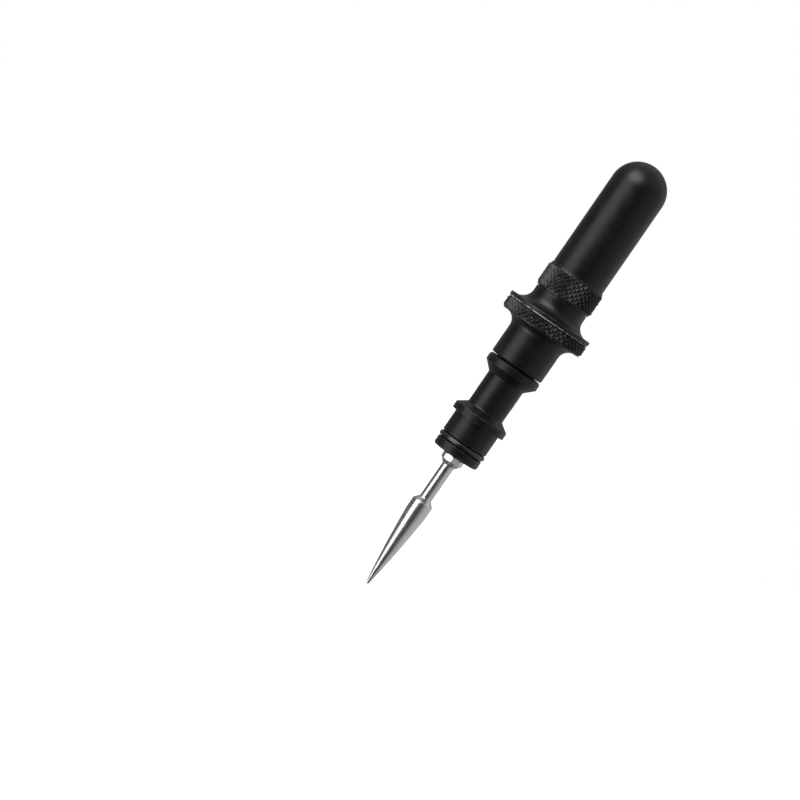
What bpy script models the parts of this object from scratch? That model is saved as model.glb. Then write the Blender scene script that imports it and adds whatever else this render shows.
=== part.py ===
"""Tyre plug insertion tool for tubeless bicycle tyres.

A pocket tool turned from aluminium bar. From the bottom up: a polished steel awl that opens and
seals the puncture, a holder that the awl screws into and that stores spare rope plugs, a hub with
a hand-stop flange that closes the holder, a slotted steel fork on top of the hub that carries the
next plug, and a domed cap pushed over the fork, which is also the palm grip.

The tool stands along +Z, its origin is the awl's point, and every piece is turned about Z.
Lengths are in metres; MM turns the millimetre values of a workshop drawing into metres.
"""

import bpy
import bmesh
from math import acos, cos, pi, radians, sin, sqrt
from mathutils import Matrix

MM = 0.001

# ---- Driving dimensions ------------------------------------------------------------------------

BODY_R = 8.0 * MM            # hub, cap and upper holder flange are all turned to this bar size
FLANGE_R = 12.8 * MM         # hand-stop flange
SEAM = 0.15 * MM             # daylight left between faces that butt together
FIT = 0.12 * MM              # radial clearance between a seal and the metal round it

# Heights of the joints between the turned pieces, from the awl's point.
HOLDER_Z = 42.25 * MM        # holder's lower end, where the awl's collar seats
SPLIT_Z = 71.65 * MM         # middle of the gap between holder and hub
CAP_Z = 93.55 * MM           # middle of the gap between hub and cap
TOP_Z = 137.4 * MM           # crown of the dome

# Awl
POINT_R = 0.35 * MM
AWL_R = 3.1 * MM
BARB_Z = 23.7 * MM           # end of the taper
BARB_LENGTH = 3.2 * MM       # straight band behind the taper
NECK_R = 1.82 * MM
COLLAR_R = 3.25 * MM         # across the collar's corners
COLLAR_LENGTH = 1.8 * MM
COLLAR_SIDES = 8
SHANK_R = 1.9 * MM           # M4 thread of awl and fork
SHANK_LENGTH = 6.0 * MM
POINT_Z = 0.1 * MM           # height of the blunted point
TAPER_SWELL = 0.22 * MM      # how far the taper bulges at its middle
SHOULDER_SLOPE = 1.1         # length over drop, behind the band
FLARE_SLOPE = 1.15           # length over rise, under the collar
COLLAR_INSET = 0.1 * MM      # the turned core stays this far inside the collar's flats
THREAD_CHAMFER = 0.4 * MM
DRILL_RUNOUT = 0.6 * MM      # depth of a threaded hole past the screw, and of its drill point

# Holder
SPIGOT_R = 6.92 * MM         # lower spigot, which takes a push-on cover
WAIST_R = 5.53 * MM
LOWER_FLANGE_R = 8.18 * MM
LOWER_FLANGE_Z = 53.15 * MM
LOWER_FLANGE_LENGTH = 2.15 * MM
WAIST_START_Z = 57.0 * MM
WAIST_END_Z = 66.8 * MM
UPPER_FLANGE_Z = 69.25 * MM
SEAL_SECTION_R = 0.82 * MM   # section radius of the big O-rings
SPIGOT_SEAL_R = 7.22 * MM    # outer radius of the spigot's O-ring
SPIGOT_SEAL_Z = 45.85 * MM
STORE_R = 4.2 * MM           # bore that stores the spare plugs
STORE_Z = 50.6 * MM          # floor of that bore
HOLDER_THREAD_R = 5.85 * MM
HOLDER_THREAD_LENGTH = 7.9 * MM
NECK_CHAMFER = 0.5 * MM      # at both ends of the upper rim and neck
RIM_STAND = 0.08 * MM        # how far the upper flange stands out from the hub
RIM_TOP_INSET = 0.45 * MM
FLANGE_BREAK = 0.15 * MM     # broken edges of the lower flange
SPIGOT_SEAL_DEPTH = 1.5 * MM
SPIGOT_SEAL_LIP = 0.2 * MM
SPIGOT_END_BEND = 0.6 * MM

# Spare plugs
SPARE_COUNT = 5
SPARE_R = 1.4 * MM
SPARE_PITCH_R = 2.62 * MM    # circle that the spare plugs stand on
SPARE_LENGTH = 28.2 * MM
SPARE_PINCH = 0.3 * MM       # how far the cut ends draw in
SPARE_PINCH_LENGTH = 0.5 * MM

# Hub
FLANGE_Z = 83.35 * MM        # flange's underside
FLANGE_LENGTH = 4.95 * MM
LOWER_SWEEP_R = 3.2 * MM     # concave sweep from the body out to the flange
UPPER_SWEEP_R = 3.44 * MM
HUB_BORE_R = 6.1 * MM
HUB_BORE_Z = 80.5 * MM       # blind end of the thread for the holder
SEAL_STEP_R = 7.15 * MM      # counterbore for the O-ring between holder and hub
CAP_SPIGOT_R = 6.6 * MM
CAP_SPIGOT_Z = 100.5 * MM
CAP_SEAL_Z = 97.0 * MM
CAP_SEAL_SECTION_R = 0.6 * MM
CAP_SEAL_DEPTH = 1.15 * MM
CAP_SEAL_LIP = 0.1 * MM
CAP_SPIGOT_CHAMFER = 0.5 * MM
JOINT_SEAL_SECTION_R = 0.45 * MM
JOINT_SEAL_RISE = 0.5 * MM   # middle of that O-ring above the joint
SEAL_STEP_DEPTH = 0.95 * MM
FOOT_CHAMFER = 0.35 * MM
FLANGE_CHAMFER = 0.4 * MM
FLANGE_TOP_CHAMFER = 0.25 * MM
RIM_GROOVE_RISE = 3.6 * MM   # groove over the knurl, above the flange's underside
RIM_GROOVE_DEPTH = 0.2 * MM
RIM_GROOVE_STEP = 0.1 * MM   # height of each of the groove's three faces
SHOULDER_BREAK = 0.2 * MM

# Cap
COLLAR_RING_R = 8.75 * MM    # knurled ring at the cap's mouth
COLLAR_RING_LENGTH = 7.4 * MM
CAP_BORE_R = 6.9 * MM
PAD_R = 6.6 * MM             # silicone pad pressed in the dome
PAD_Z = 132.5 * MM
PAD_EDGE = 0.3 * MM
MOUTH_BREAK = 0.2 * MM
RING_CHAMFER = 0.4 * MM

# Fork
FORK_R = 1.75 * MM
FORK_HEX_FLATS = 5.5 * MM
FORK_HEX_LENGTH = 2.0 * MM
FORK_TIP_Z = 124.0 * MM
SLOT_WIDTH = 1.7 * MM
SLOT_LENGTH = 9.0 * MM
ROPE_R = 0.75 * MM           # bicycle rope plug, 1.5 mm thick
ROPE_TAIL_Z = 105.5 * MM     # where the two folded tails of the loaded plug end
ROPE_LIFT = 1.2 * MM         # gap between the rope and the slot's floor
ROPE_BEND_R = 1.7 * MM
ROPE_STAND = 0.35 * MM       # gap between the tails and the fork
FORK_COLLAR = 0.3 * MM       # the shank runs this far up into the hexagon
FORK_TAPER = 2.0 * MM
FORK_BLUNT = 0.4 * MM
FORK_DRAW_IN = 0.45 * MM
FORK_POINT_DRAW_IN = 0.8 * MM
SLOT_REACH = 3 * MM          # how far the slot's cutter runs past the fork

# Small seals under the collars of awl and fork
SMALL_SEAL_R = 2.4 * MM      # centre radius
SMALL_SEAL_SECTION_R = 0.3 * MM
SMALL_SEAL_STEP_R = 2.85 * MM
SMALL_SEAL_DEPTH = 0.8 * MM

# Facets
BODY_FACETS = 40
SMALL_FACETS = 24
ROPE_FACETS = 10


# ---- Tools -------------------------------------------------------------------------------------


def material(name, colour, roughness, metallic):
    """One Principled material for one finish."""
    made = bpy.data.materials.new(name)
    made.use_nodes = True
    shader = made.node_tree.nodes["Principled BSDF"]
    shader.inputs["Base Color"].default_value = (*colour, 1.0)
    shader.inputs["Roughness"].default_value = roughness
    shader.inputs["Metallic"].default_value = metallic
    made.diffuse_color = (*colour, 1.0)
    return made


def finish(name, bm, finish_material, corner=radians(35)):
    """Closes a bmesh into an object with smooth round faces and sharp corners."""
    bmesh.ops.remove_doubles(bm, verts=bm.verts, dist=0.001 * MM)
    bmesh.ops.recalc_face_normals(bm, faces=bm.faces)
    mesh = bpy.data.meshes.new(name)
    bm.to_mesh(mesh)
    bm.free()
    mesh.materials.append(finish_material)
    mesh.shade_smooth()
    mesh.set_sharp_from_angle(angle=corner)
    piece = bpy.data.objects.new(name, mesh)
    bpy.context.collection.objects.link(piece)
    return piece


def arc(centre_r, centre_z, radius, start, end, steps):
    """Points on an arc in the (r, z) plane, from one angle to another, both in degrees."""
    angles = [radians(start + (end - start) * i / steps) for i in range(steps + 1)]
    return [(centre_r + radius * cos(a), centre_z + radius * sin(a)) for a in angles]


def turned(name, outline, finish_material, facets=BODY_FACETS, closed=False):
    """A turned piece: its outline of (radius, height) points spun once about Z."""
    bm = bmesh.new()
    points = [bm.verts.new((r, 0.0, z)) for r, z in outline]
    pairs = list(zip(points, points[1:]))
    if closed:
        pairs.append((points[-1], points[0]))
    edges = [bm.edges.new(pair) for pair in pairs]
    bmesh.ops.spin(bm, geom=points + edges, cent=(0, 0, 0), axis=(0, 0, 1), angle=2 * pi, steps=facets)
    return finish(name, bm, finish_material)


def o_ring(name, outer_r, section_r, height, finish_material, facets=BODY_FACETS):
    """A moulded O-ring round Z."""
    section = arc(outer_r - section_r, height, section_r, 0, 360, 8)[:-1]
    return turned(name, section, finish_material, facets, closed=True)


def set_on_axis(piece, height):
    """Moves a piece's origin up the tool's axis, leaving the piece where it is."""
    piece.data.transform(Matrix.Translation((0, 0, -height)))
    piece.location = (0, 0, height)


def prism(name, sides, flats, bottom, height, finish_material):
    """A bar with flat sides, its corners turned off at both ends."""
    corner_r = flats / 2 / cos(pi / sides)
    bevel = corner_r - flats / 2
    rings = [
        (flats / 2, bottom),
        (corner_r, bottom + bevel),
        (corner_r, bottom + height - bevel),
        (flats / 2, bottom + height),
    ]
    bm = bmesh.new()
    loops = []
    for r, z in rings:
        loops.append([
            bm.verts.new((r * cos(2 * pi * i / sides), r * sin(2 * pi * i / sides), z)) for i in range(sides)
        ])
    for low, high in zip(loops, loops[1:]):
        for i in range(sides):
            j = (i + 1) % sides
            bm.faces.new((low[i], low[j], high[j], high[i]))
    bm.faces.new(loops[0])
    bm.faces.new(loops[-1])
    return finish(name, bm, finish_material, corner=radians(20))


def combine(piece, other, operation):
    """Boolean of two pieces, applied; the second piece is used up."""
    cut = piece.modifiers.new(operation.lower(), "BOOLEAN")
    cut.operation = operation
    cut.object = other
    graph = bpy.context.evaluated_depsgraph_get()
    mesh = bpy.data.meshes.new_from_object(piece.evaluated_get(graph))
    piece.modifiers.remove(cut)
    piece.data = mesh
    bpy.data.objects.remove(other)


# ---- Start with an empty scene -----------------------------------------------------------------

for old in list(bpy.data.objects):
    bpy.data.objects.remove(old)

black = material("black_anodised_aluminium", (0.022, 0.022, 0.024), 0.42, 0.9)
steel = material("polished_steel", (0.62, 0.62, 0.64), 0.16, 1.0)
seal_rubber = material("seal_rubber", (0.012, 0.012, 0.013), 0.3, 0.0)
plug_rubber = material("plug_rubber", (0.16, 0.07, 0.03), 0.75, 0.0)
pad_silicone = material("pad_silicone", (0.2, 0.2, 0.21), 0.6, 0.0)


# ---- Awl: polished steel, ground to a slim ogive point, screwed into the holder -----------------


def awl_outline():
    """Point, convex taper, straight band, square-backed shoulder, neck, flare, collar seat, shank."""
    points = [(0, 0), (POINT_R, POINT_Z)]
    taper_steps = 6
    for i in range(1, taper_steps + 1):
        t = i / taper_steps
        swell = TAPER_SWELL * 4 * t * (1 - t)
        points.append((POINT_R + (AWL_R - POINT_R) * t + swell, POINT_Z + (BARB_Z - POINT_Z) * t))
    band_end = BARB_Z + BARB_LENGTH
    points.append((AWL_R, band_end))
    points.append((NECK_R, band_end + SHOULDER_SLOPE * (AWL_R - NECK_R)))
    collar_start = HOLDER_Z - SEAM - COLLAR_LENGTH
    core_r = COLLAR_R * cos(pi / COLLAR_SIDES) - COLLAR_INSET
    points.append((NECK_R, collar_start - FLARE_SLOPE * (core_r - NECK_R)))
    points.append((core_r, collar_start + COLLAR_INSET))
    points.append((core_r, HOLDER_Z - SEAM - COLLAR_INSET))
    points.append((SHANK_R, HOLDER_Z - SEAM - COLLAR_INSET))
    shank_end = HOLDER_Z + SHANK_LENGTH
    points.append((SHANK_R, shank_end - THREAD_CHAMFER))
    points.append((SHANK_R - THREAD_CHAMFER, shank_end))
    points.append((0, shank_end))
    return points


awl = turned("awl", awl_outline(), steel, SMALL_FACETS)
awl_collar = prism(
    "awl_collar",
    COLLAR_SIDES,
    2 * COLLAR_R * cos(pi / COLLAR_SIDES),
    HOLDER_Z - SEAM - COLLAR_LENGTH,
    COLLAR_LENGTH,
    steel,
)
combine(awl, awl_collar, "UNION")

awl_o_ring = o_ring(
    "awl_o_ring",
    SMALL_SEAL_R + SMALL_SEAL_SECTION_R,
    SMALL_SEAL_SECTION_R,
    HOLDER_Z + SMALL_SEAL_DEPTH / 2,
    seal_rubber,
    SMALL_FACETS,
)


# ---- Holder: spool with a sealed spigot below, a waist, and a threaded neck above ---------------


def groove(radius, centre, half_width, depth, lip):
    """A square groove for an O-ring, read downwards, its two lips rounded over."""
    return [
        (radius, centre + half_width + lip),
        (radius - lip, centre + half_width),
        (radius - depth, centre + half_width),
        (radius - depth, centre - half_width),
        (radius - lip, centre - half_width),
        (radius, centre - half_width - lip),
    ]


def holder_outline():
    """From the floor of the plug store, up the bore, down the outside, into the awl's hole."""
    rim_z = SPLIT_Z - SEAM
    thread_top = rim_z + HOLDER_THREAD_LENGTH
    points = [(0, STORE_Z), (STORE_R, STORE_Z), (STORE_R, thread_top)]
    points += [(HOLDER_THREAD_R - NECK_CHAMFER, thread_top), (HOLDER_THREAD_R, thread_top - NECK_CHAMFER)]
    points += [(HOLDER_THREAD_R, rim_z), (BODY_R - RIM_TOP_INSET, rim_z)]
    points += [(BODY_R + RIM_STAND, rim_z - NECK_CHAMFER), (BODY_R + RIM_STAND, UPPER_FLANGE_Z)]
    points += [(WAIST_R, WAIST_END_Z), (WAIST_R, WAIST_START_Z)]
    flange_top = LOWER_FLANGE_Z + LOWER_FLANGE_LENGTH
    points += [(LOWER_FLANGE_R - FLANGE_BREAK, flange_top), (LOWER_FLANGE_R, flange_top - FLANGE_BREAK)]
    points += [(LOWER_FLANGE_R, LOWER_FLANGE_Z + FLANGE_BREAK), (LOWER_FLANGE_R - FLANGE_BREAK, LOWER_FLANGE_Z)]
    points += [(SPIGOT_R, LOWER_FLANGE_Z)]
    points += groove(SPIGOT_R, SPIGOT_SEAL_Z, SEAL_SECTION_R + FIT, SPIGOT_SEAL_DEPTH, SPIGOT_SEAL_LIP)
    points += arc(SPIGOT_R - SPIGOT_END_BEND, HOLDER_Z + SPIGOT_END_BEND, SPIGOT_END_BEND, 0, -90, 3)
    hole_r = SHANK_R + SEAM
    points += [(SMALL_SEAL_STEP_R, HOLDER_Z), (SMALL_SEAL_STEP_R, HOLDER_Z + SMALL_SEAL_DEPTH)]
    points += [(hole_r, HOLDER_Z + SMALL_SEAL_DEPTH), (hole_r, HOLDER_Z + SHANK_LENGTH + DRILL_RUNOUT)]
    points += [(0, HOLDER_Z + SHANK_LENGTH + 2 * DRILL_RUNOUT)]
    return points


holder = turned("holder", holder_outline(), black)
set_on_axis(holder, HOLDER_Z)

spigot_o_ring = o_ring("spigot_o_ring", SPIGOT_SEAL_R, SEAL_SECTION_R, SPIGOT_SEAL_Z, seal_rubber)
set_on_axis(spigot_o_ring, SPIGOT_SEAL_Z)


# ---- Spare plugs: short rope plugs that stand in the holder's bore ------------------------------


def spare_plug(number):
    """One spare plug, its ends pinched a little where the rope was cut."""
    angle = 2 * pi * (number - 1) / SPARE_COUNT
    bottom = STORE_Z + SEAM
    top = bottom + SPARE_LENGTH
    outline = [(0, bottom), (SPARE_R - SPARE_PINCH, bottom), (SPARE_R, bottom + SPARE_PINCH_LENGTH)]
    outline += [(SPARE_R, top - SPARE_PINCH_LENGTH), (SPARE_R - SPARE_PINCH, top), (0, top)]
    plug = turned("spare_plug_%d" % number, outline, plug_rubber, ROPE_FACETS)
    plug.location = (SPARE_PITCH_R * cos(angle), SPARE_PITCH_R * sin(angle), 0)
    return plug


for number in range(1, SPARE_COUNT + 1):
    spare_plug(number)


# ---- Hub: hand-stop flange between two straight bodies, closes the holder and carries the fork --


def hub_outline():
    """From the blind end of the lower bore, down it, up the outside, over the spigot, into the fork's hole."""
    foot = SPLIT_Z + SEAM
    sweep_low = FLANGE_Z - LOWER_SWEEP_R
    flange_top = FLANGE_Z + FLANGE_LENGTH
    sweep_high = flange_top + UPPER_SWEEP_R
    shoulder = CAP_Z - SEAM / 2
    points = [(0, HUB_BORE_Z), (HUB_BORE_R, HUB_BORE_Z), (HUB_BORE_R, foot + SEAL_STEP_DEPTH)]
    points += [(SEAL_STEP_R, foot + SEAL_STEP_DEPTH), (SEAL_STEP_R, foot)]
    points += [(BODY_R - FOOT_CHAMFER, foot), (BODY_R, foot + FOOT_CHAMFER)]
    points += arc(BODY_R + LOWER_SWEEP_R, sweep_low, LOWER_SWEEP_R, 180, 90, 5)
    points += [(FLANGE_R - FLANGE_CHAMFER, FLANGE_Z), (FLANGE_R, FLANGE_Z + FLANGE_CHAMFER)]
    groove_z = FLANGE_Z + RIM_GROOVE_RISE
    points += [(FLANGE_R, groove_z), (FLANGE_R - RIM_GROOVE_DEPTH, groove_z + RIM_GROOVE_STEP)]
    points += [(FLANGE_R - RIM_GROOVE_DEPTH, groove_z + 2 * RIM_GROOVE_STEP)]
    points += [(FLANGE_R, groove_z + 3 * RIM_GROOVE_STEP), (FLANGE_R, flange_top - FLANGE_TOP_CHAMFER)]
    points += [(FLANGE_R - FLANGE_TOP_CHAMFER, flange_top)]
    points += arc(BODY_R + UPPER_SWEEP_R, sweep_high, UPPER_SWEEP_R, 270, 180, 5)
    points += [(BODY_R, shoulder - SHOULDER_BREAK), (BODY_R - SHOULDER_BREAK, shoulder)]
    points += [(CAP_SPIGOT_R, shoulder)]
    seal_groove = groove(CAP_SPIGOT_R, CAP_SEAL_Z, CAP_SEAL_SECTION_R + FIT, CAP_SEAL_DEPTH, CAP_SEAL_LIP)
    points += reversed(seal_groove)
    points += [(CAP_SPIGOT_R, CAP_SPIGOT_Z - CAP_SPIGOT_CHAMFER)]
    points += [(CAP_SPIGOT_R - CAP_SPIGOT_CHAMFER, CAP_SPIGOT_Z)]
    step_z = CAP_SPIGOT_Z - SMALL_SEAL_DEPTH
    points += [(SMALL_SEAL_STEP_R, CAP_SPIGOT_Z), (SMALL_SEAL_STEP_R, step_z), (SHANK_R + SEAM, step_z)]
    points += [(SHANK_R + SEAM, CAP_SPIGOT_Z - SHANK_LENGTH - DRILL_RUNOUT)]
    points += [(0, CAP_SPIGOT_Z - SHANK_LENGTH - 2 * DRILL_RUNOUT)]
    return points


hub = turned("hub", hub_outline(), black)
set_on_axis(hub, SPLIT_Z)

joint_seal_r = SEAL_STEP_R - FIT
joint_seal_z = SPLIT_Z + JOINT_SEAL_RISE
joint_o_ring = o_ring("joint_o_ring", joint_seal_r, JOINT_SEAL_SECTION_R, joint_seal_z, seal_rubber)
set_on_axis(joint_o_ring, SPLIT_Z)

cap_o_ring = o_ring("cap_o_ring", CAP_BORE_R - FIT, CAP_SEAL_SECTION_R, CAP_SEAL_Z, seal_rubber)
set_on_axis(cap_o_ring, CAP_SEAL_Z)


# ---- Fork: slotted steel needle on a hexagon, screwed into the hub ------------------------------


def fork_outline():
    """Shank, seat under the hexagon, round needle with a tapered end."""
    seat = CAP_SPIGOT_Z + SEAM
    shank_foot = CAP_SPIGOT_Z - SHANK_LENGTH
    points = [(0, shank_foot), (SHANK_R - THREAD_CHAMFER, shank_foot)]
    points += [(SHANK_R, shank_foot + THREAD_CHAMFER), (SHANK_R, seat + FORK_COLLAR)]
    points += [(FORK_R, seat + FORK_COLLAR), (FORK_R, FORK_TIP_Z - FORK_TAPER)]
    points += [(FORK_R - FORK_DRAW_IN, FORK_TIP_Z - FORK_BLUNT), (FORK_R - FORK_POINT_DRAW_IN, FORK_TIP_Z)]
    points += [(0, FORK_TIP_Z)]
    return points


def fork_slot():
    """The open slot between the fork's two prongs, with a round end."""
    bottom = FORK_TIP_Z - SLOT_LENGTH
    steps = 8
    half = SLOT_WIDTH / 2
    outline = [(half * cos(pi + pi * i / steps), bottom + half * sin(pi + pi * i / steps)) for i in range(steps + 1)]
    outline += [(half, FORK_TIP_Z + SLOT_REACH), (-half, FORK_TIP_Z + SLOT_REACH)]
    bm = bmesh.new()
    front = [bm.verts.new((x, -SLOT_REACH, z)) for x, z in outline]
    face = bm.faces.new(front)
    swept = bmesh.ops.extrude_face_region(bm, geom=[face])
    moved = [v for v in swept["geom"] if isinstance(v, bmesh.types.BMVert)]
    bmesh.ops.translate(bm, verts=moved, vec=(0, 2 * SLOT_REACH, 0))
    return finish("fork_slot", bm, steel)


fork = turned("fork", fork_outline(), steel, SMALL_FACETS)
combine(fork, prism("fork_hex", 6, FORK_HEX_FLATS, CAP_SPIGOT_Z + SEAM, FORK_HEX_LENGTH, steel), "UNION")
combine(fork, fork_slot(), "DIFFERENCE")

fork_o_ring = o_ring(
    "fork_o_ring",
    SMALL_SEAL_R + SMALL_SEAL_SECTION_R,
    SMALL_SEAL_SECTION_R,
    CAP_SPIGOT_Z - SMALL_SEAL_DEPTH / 2,
    seal_rubber,
    SMALL_FACETS,
)


# ---- Loaded plug: a rope plug pulled through the slot and folded down both sides of the fork ----


def loaded_plug():
    """A rope along Y through the slot, bent down outside the fork into two straight tails."""
    cross_z = FORK_TIP_Z - SLOT_LENGTH + ROPE_R + ROPE_LIFT
    tail_y = FORK_R + ROPE_R + ROPE_STAND
    flat_y = tail_y - ROPE_BEND_R
    corner = [(flat_y + ROPE_BEND_R * sin(a), cross_z - ROPE_BEND_R + ROPE_BEND_R * cos(a))
              for a in [pi / 2 * i / 5 for i in range(6)]]
    half = corner + [(tail_y, (cross_z - ROPE_BEND_R + ROPE_TAIL_Z) / 2), (tail_y, ROPE_TAIL_Z)]
    path = [(-y, z) for y, z in reversed(half)] + half
    curve = bpy.data.curves.new("loaded_plug", "CURVE")
    curve.dimensions = "3D"
    curve.bevel_depth = ROPE_R
    curve.bevel_resolution = 2
    curve.use_fill_caps = True
    line = curve.splines.new("POLY")
    line.points.add(len(path) - 1)
    for point, (y, z) in zip(line.points, path):
        point.co = (0, y, z, 1)
    curve.materials.append(plug_rubber)
    plug = bpy.data.objects.new("loaded_plug", curve)
    bpy.context.collection.objects.link(plug)
    return plug


loaded_plug()


# ---- Cap: domed tube with a knurled ring at its mouth, pushed over the hub's spigot -------------


def cap_outline():
    """From the crown inside, down the bore, round the mouth, up the ring, tube and dome."""
    mouth = CAP_Z + SEAM / 2
    dome_z = TOP_Z - BODY_R
    ring_top = mouth + COLLAR_RING_LENGTH
    points = arc(0, dome_z, CAP_BORE_R, 90, 0, 7)
    points += [(CAP_BORE_R, mouth + MOUTH_BREAK), (CAP_BORE_R + MOUTH_BREAK, mouth)]
    points += [(COLLAR_RING_R - RING_CHAMFER, mouth), (COLLAR_RING_R, mouth + RING_CHAMFER)]
    points += [(COLLAR_RING_R, ring_top - RING_CHAMFER), (COLLAR_RING_R - RING_CHAMFER, ring_top)]
    points += [(BODY_R, ring_top)]
    points += arc(0, dome_z, BODY_R, 0, 90, 8)
    return points


cap_shell = turned("cap_shell", cap_outline(), black)
set_on_axis(cap_shell, CAP_Z)


def pad_outline():
    """A slice of a ball that fills the top of the dome."""
    centre_z = TOP_Z - BODY_R
    edge = acos((PAD_Z - centre_z) / PAD_R) * 180 / pi
    edge_r = sqrt(PAD_R ** 2 - (PAD_Z - centre_z) ** 2)
    return [(0, PAD_Z), (edge_r - PAD_EDGE, PAD_Z)] + arc(0, centre_z, PAD_R, 90 - edge, 90, 5)


cap_pad = turned("cap_pad", pad_outline(), pad_silicone)
set_on_axis(cap_pad, PAD_Z)
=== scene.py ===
from math import asin, atan2, cos, degrees, hypot, pi, radians, sin, tan

import bmesh
import bpy
from mathutils import Matrix, Vector


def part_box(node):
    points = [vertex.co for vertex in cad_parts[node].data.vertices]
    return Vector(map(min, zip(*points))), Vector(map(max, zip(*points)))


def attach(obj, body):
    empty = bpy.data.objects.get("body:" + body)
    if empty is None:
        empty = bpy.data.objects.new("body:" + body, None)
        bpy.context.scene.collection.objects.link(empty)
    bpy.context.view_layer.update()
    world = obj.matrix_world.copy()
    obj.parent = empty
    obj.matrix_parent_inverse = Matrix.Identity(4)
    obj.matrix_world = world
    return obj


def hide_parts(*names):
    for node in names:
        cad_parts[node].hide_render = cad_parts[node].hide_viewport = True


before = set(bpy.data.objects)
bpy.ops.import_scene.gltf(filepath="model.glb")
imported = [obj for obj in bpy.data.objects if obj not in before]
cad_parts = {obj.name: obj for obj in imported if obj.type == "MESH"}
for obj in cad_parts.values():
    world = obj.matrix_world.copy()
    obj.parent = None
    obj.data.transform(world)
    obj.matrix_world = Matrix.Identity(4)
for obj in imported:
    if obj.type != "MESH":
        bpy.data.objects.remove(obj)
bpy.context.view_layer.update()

# ---- Awl ----------------------------------------------------------------------------------------
# A slim reamer of stainless steel, turned and ground to an ogive point and polished round and round.
# Behind its band it drops square to a thin neck, so that the tyre's rubber closes behind it and the
# tool stays put. It ends in an eight-sided collar for a 6 mm spanner and an M4 thread.

MM = 0.001

# Points nearer than weld are merged, and a cutting plane takes points nearer than cut_grip as on it.
weld = 0.002 * MM
cut_grip = 1e-4 * MM


def deselect():
    """Leaves object mode's selection empty, so that the next operator acts on its own piece only."""
    bpy.ops.object.select_all(action="DESELECT")


def rounded(corners):
    """An outline in millimetres with rounded corners: (radius, height, bend), with bend 0 for a sharp one.

    A point is added past each end of a bend on a longer side, so that its smooth shading ends there.
    """
    least_steps = 4
    most_steps = 30
    steps_per_mm = 3
    shading_margin = 0.25
    room = 0.4
    outline = []
    for i, (r, z, bend) in enumerate(corners):
        if not bend:
            outline.append((r, z))
            continue
        here = Vector((r, z))
        back = (Vector(corners[i - 1][:2]) - here).normalized()
        on = (Vector(corners[i + 1][:2]) - here).normalized()
        half = back.angle(on) / 2
        centre = here + (back + on).normalized() * bend / sin(half)
        first = here + back * bend / tan(half) - centre
        last = here + on * bend / tan(half) - centre
        start = atan2(first.y, first.x)
        sweep = (atan2(last.y, last.x) - start + pi) % (2 * pi) - pi
        steps = min(most_steps, least_steps + int(abs(sweep) * bend * steps_per_mm))
        arc = []
        for s in range(steps + 1):
            a = start + sweep * s / steps
            arc.append((centre.x + bend * cos(a), centre.y + bend * sin(a)))
        reach = bend / tan(half) + shading_margin
        if (Vector(corners[i - 1][:2]) - here).length > reach + room:
            outline.append(tuple(here + back * reach))
        outline += arc
        if (Vector(corners[i + 1][:2]) - here).length > reach + room:
            outline.append(tuple(here + on * reach))
    return outline


def draw(name, outline):
    """Draws an outline of (radius, height) by extruding a point, and stays in edit mode."""
    no_step = 1e-5
    deselect()
    bpy.ops.mesh.primitive_circle_add(vertices=3, radius=MM)
    piece = bpy.context.object
    piece.name = name
    bpy.ops.object.mode_set(mode="EDIT")
    bpy.ops.mesh.merge(type="CENTER")
    r, z = outline[0]
    bpy.ops.transform.translate(value=(r * MM, 0, z * MM))
    for next_r, next_z in outline[1:]:
        if hypot(next_r - r, next_z - z) < no_step:
            continue
        step = ((next_r - r) * MM, 0, (next_z - z) * MM)
        bpy.ops.mesh.extrude_vertices_move(TRANSFORM_OT_translate={"value": step})
        r, z = next_r, next_z
    bpy.ops.mesh.select_all(action="SELECT")
    return piece


def smooth(piece, corner=32):
    """Smooth shading that breaks at corners sharper than the given angle."""
    deselect()
    piece.select_set(True)
    bpy.context.view_layer.objects.active = piece
    bpy.ops.object.shade_smooth_by_angle(angle=radians(corner))


def turned(name, outline, facets):
    """Spins an outline once round Z into a closed piece."""
    piece = draw(name, outline)
    bpy.ops.mesh.spin(steps=facets, angle=2 * pi, center=(0, 0, 0), axis=(0, 0, 1))
    bpy.ops.mesh.select_all(action="SELECT")
    bpy.ops.mesh.remove_doubles(threshold=weld)
    bpy.ops.mesh.normals_make_consistent(inside=False)
    bpy.ops.object.mode_set(mode="OBJECT")
    smooth(piece)
    return piece


def combine(piece, other, operation):
    """Joins, cuts or crosses a piece with another, which is used up."""
    deselect()
    piece.select_set(True)
    bpy.context.view_layer.objects.active = piece
    cut = piece.modifiers.new(operation.lower(), "BOOLEAN")
    cut.operation = operation
    cut.object = other
    bpy.ops.object.modifier_apply(modifier=cut.name)
    bpy.data.objects.remove(other)
    smooth(piece)
    return piece


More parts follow.
